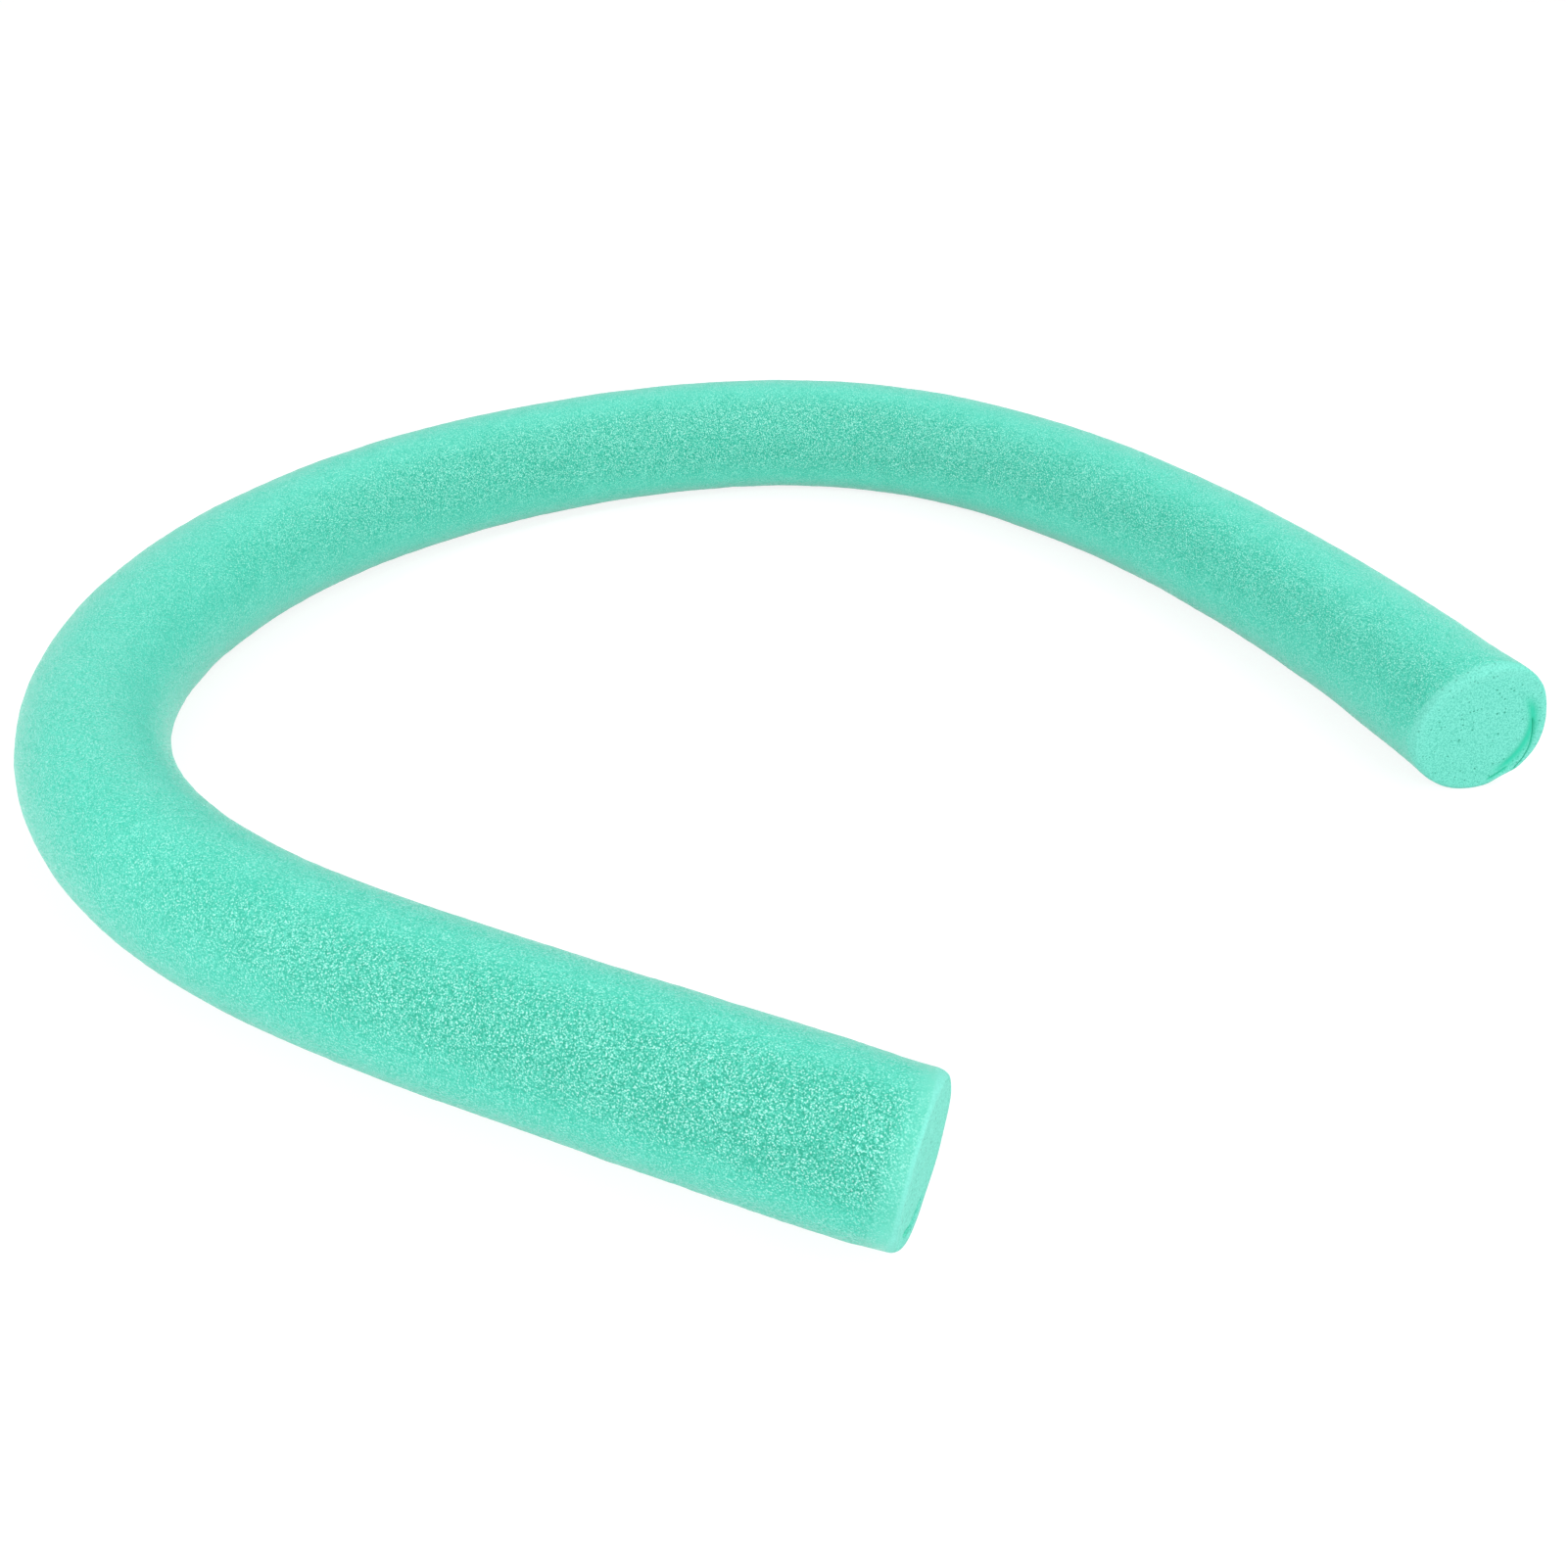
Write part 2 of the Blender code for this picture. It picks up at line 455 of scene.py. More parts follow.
@dataclass(frozen=True)
class FoamRod:
    """The whole rod's surface as a rule: where each point of the straight blank ends up."""

    path: RodPath
    relief: Relief
    ends: dict[Stretch, CutEnd]
    rest_press: float = 0.20 * MM
    rest_softness: float = 0.15 * MM

    def skin(self, stations: np.ndarray, angles: np.ndarray) -> np.ndarray:
        """Points of the skin well away from the rims.

        Args:
            stations: how far along the rod each point is.
            angles: where round the section each point is, in radians from the left side over the top.

        Returns:
            The points in the frame, one a row.
        """
        radius = self.path.radius
        round_rod = np.column_stack([stations, radius * np.cos(angles), radius * np.sin(angles)])
        heights = self.relief.heights(round_rod, radius, self.path.length)
        reach = radius + heights + self.girth(stations, angles)
        shaped = np.column_stack([stations, reach * np.cos(angles), reach * np.sin(angles)])
        return self.rested(self.path.bent(shaped))

    def girth(self, stations: np.ndarray, angles: np.ndarray) -> np.ndarray:
        """How much stouter the rod is near its cut ends.

        Args:
            stations: how far along the rod each point is.
            angles: where round the section each point is.

        Returns:
            A height for each point.
        """
        stouter = np.zeros(len(stations))
        for end in self.ends.values():
            stouter += end.girth.heights((stations - end.station) * end.inwards, angles)
        return stouter

    def rested(self, points: np.ndarray) -> np.ndarray:
        """Flatten the foam softly where it lies on the ground.

        Args:
            points: points in the frame, one a row, which are moved.

        Returns:
            The same points.
        """
        height = points[:, 2] - self.rest_press
        points[:, 2] = (height + np.sqrt(height**2 + self.rest_softness**2)) / 2.0
        return points

    def cut_end(self, which: Stretch, blank: np.ndarray, blank_length: float) -> dict[str, np.ndarray]:
        """Shape the stretch that carries a cut end.

        Args:
            which: the near or the far end.
            blank: points of the straight blank, one a row.
            blank_length: how long the blank is.

        Returns:
            The points in the frame, their straight places, and how much of the cut face, of a groove, of
            the band inside the rim and of the calmer skin beside it, painted paler as if lit, each one has.
        """
        end = self.ends[which]
        radius = self.path.radius
        share = np.clip((blank[:, 0] - end.station) * end.inwards / blank_length, 0.0, 1.0)
        depth = blank_length * share**end.ring_crowding
        angles = np.arctan2(blank[:, 2], blank[:, 1])
        out = np.minimum(np.hypot(blank[:, 1], blank[:, 2]), radius)
        travel = np.where(share > end.on_face_share, radius + depth, out)
        laid = end.rounded(radius, travel, angles)
        back, from_middle, over = laid["from_cut"], laid["from_middle"], laid["over"]
        stations = end.station + end.inwards * back
        round_rod = np.column_stack([stations, radius * np.cos(angles), radius * np.sin(angles)])
        heights = self.relief.heights(round_rod, radius, self.path.length)
        uneven = smooth_noise(round_rod, end.rim_wave.size, end.rim_wave.seed) * end.rim_wave.height
        on_rim = np.sin(math.pi * np.sqrt(over)) ** 2
        swell = heights * eased(over * end.relief_rise) + self.girth(stations, angles) * from_middle / radius
        from_middle = from_middle + swell + uneven * on_rim
        across = from_middle * np.cos(angles)
        up = from_middle * np.sin(angles)
        on_face = 1.0 - eased(over * end.face_fall)
        wave = smooth_noise(np.column_stack([across, up, 0.0 * up]), end.face_wave.size, end.face_wave.seed)
        push = -wave * end.face_wave.height * on_face
        # The groove share also says where the material paints the creases darker, as shade.
        groove = np.zeros(len(blank))
        for crease in end.creases:
            hollow, lip = crease.parts(across, up)
            push += (hollow * crease.depth - lip * crease.lip_height) * on_face
            groove = np.maximum(groove, hollow * on_face)
        tilt = math.tan(math.radians(end.skew_deg)) * across + math.tan(math.radians(end.lean_deg)) * up
        along = stations + end.inwards * (push - end.longer * (1.0 - share)) + tilt * (1.0 - share)
        straight = np.column_stack([along, across, up])
        return {
            "points": self.rested(self.path.bent(straight)),
            "rod_place": straight,
            "cut_share": 1.0 - eased((over - end.cut_until) / end.cut_blur),
            "groove_share": groove,
            "band_share": end.band_paleness * eased(
                (np.hypot(across, up) - radius + end.band_width) / end.band_blur),
            # Where the skin beside the cut is calmer and painted paler, as if lit.
            "calm_and_lit_share": eased(1.0 - (travel - radius) / end.calm_reach),
        }


def deselect_all() -> None:
    """Leave edit mode and select nothing."""
    if bpy.context.object is not None and bpy.context.object.mode != "OBJECT":
        bpy.ops.object.mode_set(mode="OBJECT")
    bpy.ops.object.select_all(action="DESELECT")


def select_parts(kind: Part, wanted: Callable[..., bool]) -> None:
    """In edit mode, select only the edges or the faces that answer a rule.

    Args:
        kind: whether edges or faces are selected.
        wanted: tells of one edge or face whether it is selected.
    """
    bpy.ops.mesh.select_mode(type=kind.value)
    bpy.ops.mesh.select_all(action="DESELECT")
    mesh = bpy.context.object.data
    bm = bmesh.from_edit_mesh(mesh)
    for part in [part for part in (bm.edges if kind is Part.EDGE else bm.faces) if wanted(part)]:
        part.select_set(True)
    bmesh.update_edit_mesh(mesh)


def coordinates(mesh: bpy.types.Mesh) -> np.ndarray:
    """Read where a mesh's points are.

    Args:
        mesh: the mesh.

    Returns:
        Its points, one a row.
    """
    values = np.zeros(len(mesh.vertices) * 3)
    mesh.vertices.foreach_get("co", values)
    return values.reshape(-1, 3)


@dataclass
class FoamStretch:
    """One stretch of the noodle: it is modelled straight, then shaped, dressed and hung on the frame.

    Joint number k lies between lengths k and k + 1 of the frame, both counted from one.
    """

    rod: FoamRod
    joint: int
    joint_count: int
    fineness: Fineness
    edge_margin: float = 1.0 * MM
    whole: bpy.types.Object | None = None

    @property
    def length_each(self) -> float:
        """How long each length of the frame is."""
        return self.rod.path.length / (self.joint_count + 1)

    @property
    def which(self) -> Stretch:
        """Which stretch this is."""
        if self.joint == 1:
            return Stretch.NEAR_END
        return Stretch.FAR_END if self.joint == self.joint_count else Stretch.MIDDLE

    @property
    def name(self) -> str:
        """The piece's name."""
        numbered = f"{Stretch.MIDDLE.value}_{self.joint:02d}"
        return numbered if self.which is Stretch.MIDDLE else self.which.value

    @property
    def reach(self) -> tuple[float, float]:
        """The stations that the stretch runs from and to."""
        first, last = ((self.joint + half) * self.length_each for half in (-0.5, 0.5))
        if self.which is Stretch.NEAR_END:
            first = 0.0
        if self.which is Stretch.FAR_END:
            last = self.rod.path.length
        return first, last

    @property
    def ring_count(self) -> int:
        """How many rings the stretch is divided into along the rod."""
        first, last = self.reach
        return min(round((last - first) / self.fineness.spacing), self.fineness.most_rings)

    def model(self) -> bpy.types.Object:
        """Model the straight blank with its rings, and shape it."""
        first, last = self.reach
        deselect_all()
        bpy.ops.mesh.primitive_cylinder_add(
            vertices=self.fineness.sides,
            radius=self.rod.path.radius,
            depth=last - first,
            end_fill_type="NGON",
            location=((first + last) / 2.0, 0.0, 0.0),
            rotation=(0.0, math.pi / 2.0, 0.0),
        )
        self.whole = bpy.context.object
        self.whole.name = self.name
        self.whole.data.name = self.name
        bpy.ops.object.transform_apply(location=True, rotation=True, scale=True)
        bpy.ops.object.mode_set(mode="EDIT")
        half = (last - first) / 2.0
        select_parts(Part.EDGE, lambda edge: abs(edge.verts[0].co.x - edge.verts[1].co.x) > half)
        bpy.ops.mesh.subdivide(number_cuts=self.ring_count - 1)
        if self.which is not Stretch.MIDDLE:
            self.divide_cut_face()
        bpy.ops.object.mode_set(mode="OBJECT")
        self.shape()
        return self.whole

    def divide_cut_face(self) -> None:
        """Divide the cut face into rings, finer near the rim, and finer still along its creases."""
        end = self.rod.ends[self.which]
        fine = self.fineness
        # The blank's cap is one face with many corners, and its sides have four corners.
        select_parts(Part.FACE, lambda face: self.on_cut(face, end) and len(face.verts) > 4)
        left = self.rod.path.radius
        for ring in range(int(left / fine.rim_spacing)):
            step = fine.rim_spacing if ring < fine.rim_rings else fine.face_spacing
            if left < 2.0 * step:
                break
            bpy.ops.mesh.inset(thickness=step)
            left -= step
        bpy.ops.mesh.poke()
        if end.creases:
            select_parts(Part.FACE, lambda face: self.on_cut(face, end) and self.near_crease(face, end))
            bpy.ops.mesh.subdivide(number_cuts=fine.crease_cuts)

    def on_cut(self, face: bmesh.types.BMFace, end: CutEnd) -> bool:
        """Whether a face looks out of the cut."""
        return face.normal.x * end.inwards < -self.fineness.facing_share

    def near_crease(self, face: bmesh.types.BMFace, end: CutEnd) -> bool:
        """Whether a face of the cut lies on a crease or its lip.

        Args:
            face: the face.
            end: the cut end that it is part of.

        Returns:
            True where it does.
        """
        middle = face.calc_center_median()
        across, up = np.array([middle.y]), np.array([middle.z])
        shares = [max(part[0] for part in crease.parts(across, up)) for crease in end.creases]
        return max(shares) > self.fineness.crease_share

    def snapped_angles(self, points: np.ndarray) -> np.ndarray:
        """The angle of each of the blank's points, put exactly on one of the rod's sides."""
        side = 2.0 * math.pi / self.fineness.sides
        return np.round(np.arctan2(points[:, 2], points[:, 1]) / side) * side

    def shape(self) -> None:
        """Move the blank's points to their places on the rod, and note what each point is."""
        mesh = self.whole.data
        first, last = self.reach
        blank = coordinates(mesh)
        step = (last - first) / self.ring_count
        if self.which is Stretch.MIDDLE:
            stations = first + np.round((blank[:, 0] - first) / step) * step
            angles = self.snapped_angles(blank)
            radius = self.rod.path.radius
            facts = {
                "points": self.rod.skin(stations, angles),
                "rod_place": np.column_stack([stations, radius * np.cos(angles), radius * np.sin(angles)]),
            }
        else:
            facts = self.rod.cut_end(self.which, blank, last - first)
            seam = last if self.which is Stretch.NEAR_END else first
            at_seam = np.abs(blank[:, 0] - seam) < step / 2.0
            angles = self.snapped_angles(blank[at_seam])
            facts["points"][at_seam] = self.rod.skin(np.full(len(angles), seam), angles)
        mesh.vertices.foreach_set("co", facts.pop("points").astype(np.float32).ravel())
        for fact, values in facts.items():
            kind, key = ("FLOAT_VECTOR", "vector") if values.ndim == 2 else ("FLOAT", "value")
            attribute = mesh.attributes.new(fact, kind, "POINT")
            attribute.data.foreach_set(key, values.astype(np.float32).ravel())
        mesh.update()
        deselect_all()
        self.whole.select_set(True)
        bpy.context.view_layer.objects.active = self.whole
        bpy.ops.object.shade_smooth_by_angle(angle=math.radians(self.fineness.smooth_below_deg))
        self.match_seams(blank)

    def match_seams(self, blank: np.ndarray) -> None:
        """Give the rings that two stretches share the same normals on both, so that no seam shows.

        Args:
            blank: the straight blank's points, one a row.
        """
        step = self.fineness.normal_step
        normals = np.zeros((len(blank), 3))
        for seam in self.reach:
            if seam in (0.0, self.rod.path.length):
                continue
            ring = np.abs(blank[:, 0] - seam) < step
            angles = self.snapped_angles(blank[ring])
            stations = np.full(len(angles), seam)
            turn = step / self.rod.path.radius
            along = self.rod.skin(stations + step, angles) - self.rod.skin(stations - step, angles)
            around = self.rod.skin(stations, angles + turn) - self.rod.skin(stations, angles - turn)
            facing = np.cross(around, along)
            normals[ring] = facing / np.linalg.norm(facing, axis=1)[:, None]
        self.whole.data.normals_split_custom_set_from_vertices([tuple(normal) for normal in normals])

    def hang(self) -> None:
        """Bake the stretch's place into its mesh, and hide the two lengths of the frame that it covers."""
        before, after = (f"foam_length_{number:02d}" for number in (self.joint, self.joint + 1))
        path = self.rod.path
        seams = np.array([self.joint - 0.5, self.joint + 0.5]) * self.length_each
        half_turn = abs(np.diff(np.interp(seams, path.stations, path.headings))[0]) / 2.0
        margin = path.radius * math.sin(half_turn) + self.edge_margin
        start, end = path.middle(seams + np.array([margin, -margin]))
        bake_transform(self.whole)
        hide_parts(before, after)


class Wiring:
    """Adds nodes to one node tree and links them."""

    def __init__(self, tree: bpy.types.NodeTree) -> None:
        """Start on an empty tree."""
        self.tree = tree
        tree.nodes.clear()

    def node(self, kind: str, inputs: dict | None = None, **settings: object) -> bpy.types.Node:
        """Add a node.

        Args:
            kind: Blender's name of the node's type.
            inputs: a value or a socket to link, for each input by name or number.
            settings: the node's own settings.

        Returns:
            The new node.
        """
        made = self.tree.nodes.new(kind)
        for name, value in settings.items():
            setattr(made, name, value)
        for key, value in (inputs or {}).items():
            if isinstance(value, Socket):
                self.tree.links.new(value, made.inputs[key])
            else:
                made.inputs[key].default_value = value
        return made

    def fact(self, name: str, output: str = "Fac") -> Socket:
        """Read what the mesh holds under a name at each of its points."""
        return self.node("ShaderNodeAttribute", attribute_name=name).outputs[output]

    def scaled(self, vector: Socket, scale: Socket) -> Socket:
        """A vector made longer or shorter by a number."""
        return self.node("ShaderNodeVectorMath", {0: vector, "Scale": scale}, operation="SCALE").outputs[0]

    def math(self, operation: str, *values: object) -> Socket:
        """A sum on numbers or sockets."""
        return self.node("ShaderNodeMath", dict(enumerate(values)), operation=operation).outputs[0]

    def mapped(self, value: Socket, low: float, high: float, to_low: float = 0.0,
               to_high: float = 1.0) -> Socket:
        """Turn one range of numbers into another, held at its ends."""
        ranges = {"Value": value, "From Min": low, "From Max": high, "To Min": to_low, "To Max": to_high}
        return self.node("ShaderNodeMapRange", ranges, interpolation_type="SMOOTHSTEP").outputs["Result"]

    def mixed(self, share: object, plain: object, other: object) -> Socket:
        """Mix two colours by a share."""
        return self.node("ShaderNodeMix", {0: share, 6: plain, 7: other}, data_type="RGBA").outputs[2]

    def blended(self, share: object, plain: object, other: object) -> Socket:
        """Mix two numbers by a share."""
        return self.node("ShaderNodeMix", {0: share, 2: plain, 3: other}, data_type="FLOAT").outputs[0]


def new_group(name: str, inputs: dict[str, str], outputs: dict[str, str]) -> tuple[Wiring, dict, dict]:
    """Start a shader node group with named sockets.

    Args:
        name: the group's name.
        inputs: each input's name and socket type.
        outputs: each output's name and socket type.

    Returns:
        The group's wiring, its input sockets by name and its output sockets by name.
    """
    tree = bpy.data.node_groups.new(name, "ShaderNodeTree")
    wiring = Wiring(tree)
    for key, kind in inputs.items():
        tree.interface.new_socket(key, in_out="INPUT", socket_type=kind)
    for key, kind in outputs.items():
        tree.interface.new_socket(key, in_out="OUTPUT", socket_type=kind)
    given = tree.nodes.new("NodeGroupInput")
    result = tree.nodes.new("NodeGroupOutput")
    return wiring, {key: given.outputs[key] for key in inputs}, {key: result.inputs[key] for key in outputs}


def skin_grain_group() -> bpy.types.NodeTree:
    """The crinkled, pebbled skin of extruded foam, in units of its cells, with masks for the shade and
    glints painted on it.
    """
    wiring, given, result = new_group(
        "skin_grain",
        {"Place": "NodeSocketVector", "Cells per Metre": "NodeSocketFloat"},
        {"Height": "NodeSocketFloat", "Crest": "NodeSocketFloat", "Painted Glint": "NodeSocketFloat"},
    )
    dome_sink, broad_share = -0.6, 0.8
    crest_range, painted_glint_range = (0.15, 0.50), (0.44, 0.54)
    place = wiring.scaled(given["Place"], given["Cells per Metre"])
    crinkle = wiring.node("ShaderNodeTexNoise", {
        "Vector": place, "Scale": 1.0, "Detail": 1.5, "Roughness": 0.5, "Distortion": 0.5,
    }).outputs["Fac"]
    cells = wiring.node("ShaderNodeTexVoronoi", {"Vector": place, "Scale": 0.8, "Smoothness": 0.4},
                        feature="SMOOTH_F1").outputs["Distance"]
    broad = wiring.node("ShaderNodeTexNoise", {"Vector": place, "Scale": 0.3, "Detail": 1.0}).outputs["Fac"]
    dome = wiring.math("MULTIPLY", wiring.math("MULTIPLY", cells, cells), dome_sink)
    fine = wiring.math("ADD", crinkle, dome)
    wiring.tree.links.new(wiring.math("MULTIPLY_ADD", broad, broad_share, fine), result["Height"])
    wiring.tree.links.new(wiring.mapped(fine, *crest_range), result["Crest"])
    # Mask of the painted glints: the highest points of the grain.
    wiring.tree.links.new(wiring.mapped(fine, *painted_glint_range), result["Painted Glint"])
    return wiring.tree


def cell_pits_group() -> bpy.types.NodeTree:
    """The open cells of a cut through the foam: small pits, painted dark as shade, among a fine even grain.
    """
    wiring, given, result = new_group(
        "cut_cell_pits",
        {"Place": "NodeSocketVector", "Pits per Metre": "NodeSocketFloat", "Pit Share": "NodeSocketFloat"},
        {"Pit": "NodeSocketFloat"},
    )
    smallest, size_spread, large_are_rare, full_depth = 0.10, 0.36, 3.0, 0.6
    place = wiring.scaled(given["Place"], given["Pits per Metre"])
    cells = wiring.node("ShaderNodeTexVoronoi", {"Vector": place, "Scale": 1.0})
    lot = wiring.node("ShaderNodeSeparateColor", {0: cells.outputs["Color"]})
    picked = wiring.math("LESS_THAN", lot.outputs[0], given["Pit Share"])
    rare = wiring.math("POWER", lot.outputs[1], large_are_rare)
    size = wiring.math("MULTIPLY_ADD", rare, size_spread, smallest)
    depth = wiring.math("SUBTRACT", 1.0, wiring.math("DIVIDE", cells.outputs["Distance"], size))
    pit = wiring.math("MULTIPLY", wiring.math("MAXIMUM", depth, 0.0), picked)
    wiring.tree.links.new(wiring.mapped(pit, 0.0, full_depth), result["Pit"])
    return wiring.tree


def tone_group() -> bpy.types.NodeTree:
    """Slow changes of tone over the foam."""
    wiring, given, result = new_group(
        "foam_tone",
        {"Place": "NodeSocketVector", "Patches per Metre": "NodeSocketFloat"},
        {"Tone": "NodeSocketFloat"},
    )
    tone_range = (0.3, 0.7)
    noise = wiring.node("ShaderNodeTexNoise", {
        "Vector": given["Place"], "Scale": given["Patches per Metre"], "Detail": 3.0, "Roughness": 0.55,
    }).outputs["Fac"]
    wiring.tree.links.new(wiring.mapped(noise, *tone_range), result["Tone"])
    return wiring.tree


@dataclass(frozen=True)
class FoamFinish:
    """The colours and surface of the foam.

    Grazing is 0 where the skin is seen from straight above it and 1 at the outline. A range says between
    which values something comes or goes.
    """

    light: Colour = (0.088, 0.700, 0.533, 1.0)
    deep: Colour = (0.055, 0.640, 0.472, 1.0)
    # Painted shade: the darker green coloured into the hollows of the skin's grain.
    valley_shade: Colour = (0.030, 0.430, 0.290, 1.0)
    # Painted glints: near-white colour on the highest points of the grain.
    painted_glint: Colour = (0.620, 0.980, 0.930, 1.0)
    # Painted sheen: a paler colour towards the outline.
    painted_limb_sheen: Colour = (0.098, 0.700, 0.545, 1.0)
    # Painted light: the skin beside the cut ends is coloured paler.
    painted_lit_skin: Colour = (0.200, 0.660, 0.530, 1.0)
    cut: Colour = (0.185, 0.705, 0.578, 1.0)
    cut_shade: Colour = (0.105, 0.560, 0.432, 1.0)
    rim_band: Colour = (0.235, 0.730, 0.615, 1.0)
    # Painted shade inside the cut face's open cells.
    pit: Colour = (0.035, 0.340, 0.240, 1.0)
    # Painted shade in the creases of the cut face.
    groove: Colour = (0.030, 0.560, 0.370, 1.0)
    cells_per_metre: float = 1650.0
    cut_cells_per_metre: float = 1600.0
    pits_per_metre: float = 560.0
    pit_share: float = 0.9
    patches_per_metre: float = 60.0
    valley_shade_share: float = 0.95
    painted_glint_share: float = 0.55
    crest_gloss: float = 1.0
    crest_gloss_roughness: float = 0.30
    crest_gloss_ior: float = 1.60
    painted_limb_sheen_share: float = 0.75
    calm: float = 0.65
    painted_lit_skin_share: float = 0.6
    crest_roughness: float = 0.22
    valley_roughness: float = 0.42
    cut_roughness: float = 0.62
    grain_height: float = 0.66 * MM
    cut_height: float = 0.10 * MM
    pit_depth: float = 0.20 * MM
    grazing_calm: float = 0.45
    specular: float = 0.23
    ior: float = 1.49
    limb_comes: tuple[float, float] = (0.08, 0.70)
    limb_goes: tuple[float, float] = (0.70, 1.00)
    limb_at_outline: float = 0.4
    calm_comes: tuple[float, float] = (0.05, 0.42)
    gloss_crests: tuple[float, float] = (0.3, 0.9)
    gloss_goes: tuple[float, float] = (0.60, 1.00)
    gloss_at_outline: float = 0.3


class FoamMaterials:
    """The foam's two materials, one for the skin alone and one for a stretch with a cut face."""

    def __init__(self, finish: FoamFinish) -> None:
        """Build the shared groups and the materials.

        Args:
            finish: the foam's colours and surface.
        """
        self.finish = finish
        self.grain = skin_grain_group()
        self.pits = cell_pits_group()
        self.tone = tone_group()
        self.skin = self.material("mint_foam_skin", with_cut=False)
        self.skin_and_cut = self.material("mint_foam_skin_and_cut", with_cut=True)

    def material(self, name: str, with_cut: bool) -> bpy.types.Material:
        """One foam material.

        Args:
            name: the material's name.
            with_cut: whether it also dresses a cut face.

        Returns:
            The material.
        """
        finish = self.finish
        made = bpy.data.materials.new(name)
        made.use_nodes = True
        wiring = Wiring(made.node_tree)
        place = wiring.fact("rod_place", "Vector")
        grain = wiring.node("ShaderNodeGroup", {
            "Place": place, "Cells per Metre": finish.cells_per_metre,
        }, node_tree=self.grain)
        tone = wiring.node("ShaderNodeGroup", {
            "Place": place, "Patches per Metre": finish.patches_per_metre,
        }, node_tree=self.tone)
        plain = wiring.mixed(tone.outputs["Tone"], finish.deep, finish.light)
        crest = grain.outputs["Crest"]
        grazing = wiring.node("ShaderNodeLayerWeight", {"Blend": 0.5}).outputs["Facing"]
        # Painted sheen: the colour turns paler where the skin is seen at a grazing angle, near the outline.
        painted_limb_sheen = wiring.math("MULTIPLY", wiring.mapped(grazing, *finish.limb_comes, 0.0, finish.painted_limb_sheen_share),
                           wiring.mapped(grazing, *finish.limb_goes, 1.0, finish.limb_at_outline))
        plain = wiring.mixed(painted_limb_sheen, plain, finish.painted_limb_sheen)
        lively = wiring.mapped(grazing, *finish.calm_comes, 1.0, 1.0 - finish.grazing_calm)
        if with_cut:
            calm = wiring.fact("calm_and_lit_share")
            lively_left = wiring.mapped(calm, 0.0, 1.0, 1.0, 1.0 - finish.calm)
            lively = wiring.math("MULTIPLY", lively, lively_left)
            # Painted light: the skin beside a cut end is coloured paler, as if lit.
            calm_and_lit_share = wiring.math("MULTIPLY", calm, finish.painted_lit_skin_share)
            plain = wiring.mixed(calm_and_lit_share, plain, finish.painted_lit_skin)
        # Painted shade: the grain's hollows are coloured darker, less so at grazing angles and beside a cut.
        low = wiring.math("MULTIPLY", wiring.math("SUBTRACT", 1.0, crest), finish.valley_shade_share)
        colour = wiring.mixed(wiring.math("MULTIPLY", low, lively), plain, finish.valley_shade)
        # Painted glints: the grain's highest points are coloured near white, less so at grazing angles and
        # beside a cut.
        painted_glint = wiring.math("MULTIPLY", grain.outputs["Painted Glint"], lively)
        colour = wiring.mixed(wiring.math("MULTIPLY", painted_glint, finish.painted_glint_share), colour, finish.painted_glint)
        gloss = wiring.mapped(crest, *finish.gloss_crests, 0.0, finish.crest_gloss)
        gloss = wiring.math("MULTIPLY", gloss, lively)
        gloss_left = wiring.mapped(grazing, *finish.gloss_goes, 1.0, finish.gloss_at_outline)
        gloss = wiring.math("MULTIPLY", gloss, gloss_left)
        roughness = wiring.mapped(crest, 0.0, 1.0, finish.valley_roughness, finish.crest_roughness)
        height = wiring.math("MULTIPLY", grain.outputs["Height"], finish.grain_height)
        if with_cut:
            skin = (colour, roughness, height, gloss)
            colour, roughness, height, gloss = self.with_cut(wiring, place, *skin)
        bump = wiring.node("ShaderNodeBump", {"Strength": lively, "Distance": 1.0, "Height": height})
        shader = wiring.node("ShaderNodeBsdfPrincipled", {
            "Base Color": colour, "Roughness": roughness, "Normal": bump.outputs["Normal"],
            "IOR": finish.ior, "Specular IOR Level": finish.specular, "Coat Weight": gloss,
            "Coat Roughness": finish.crest_gloss_roughness, "Coat IOR": finish.crest_gloss_ior,
            "Coat Normal": bump.outputs["Normal"],
        })
        wiring.node("ShaderNodeOutputMaterial", {"Surface": shader.outputs["BSDF"]})
        return made

    def with_cut(self, wiring: Wiring, place: Socket, colour: Socket, roughness: Socket, height: Socket,
                 gloss: Socket) -> tuple[Socket, Socket, Socket, Socket]:
        """Lay the cut face's look over the skin's, where the mesh says that the foam is cut.

        Args:
            wiring: the material's wiring.
            place: the straight place.
            colour: the skin's colour.
            roughness: the skin's roughness.
            height: the skin's height in metres.
            gloss: the gloss of the skin's crests.

        Returns:
            The colour, the roughness, the height and the gloss with the cut face in them.
        """
        finish = self.finish
        cut = wiring.fact("cut_share")
        groove = wiring.fact("groove_share")
        fine = wiring.node("ShaderNodeGroup", {
            "Place": place, "Cells per Metre": finish.cut_cells_per_metre,
        }, node_tree=self.grain)
        pits = wiring.node("ShaderNodeGroup", {
            "Place": place, "Pits per Metre": finish.pits_per_metre, "Pit Share": finish.pit_share,
        }, node_tree=self.pits)
        face = wiring.mixed(fine.outputs["Crest"], finish.cut_shade, finish.cut)
        band = wiring.fact("band_share")
        inside = wiring.math("SUBTRACT", 1.0, band)
        # Painted shade: the open cells' pits are coloured dark, as well as sunk by the bump.
        pit = wiring.math("MULTIPLY", pits.outputs["Pit"], inside)
        face = wiring.mixed(pit, face, finish.pit)
        face = wiring.mixed(band, face, finish.rim_band)
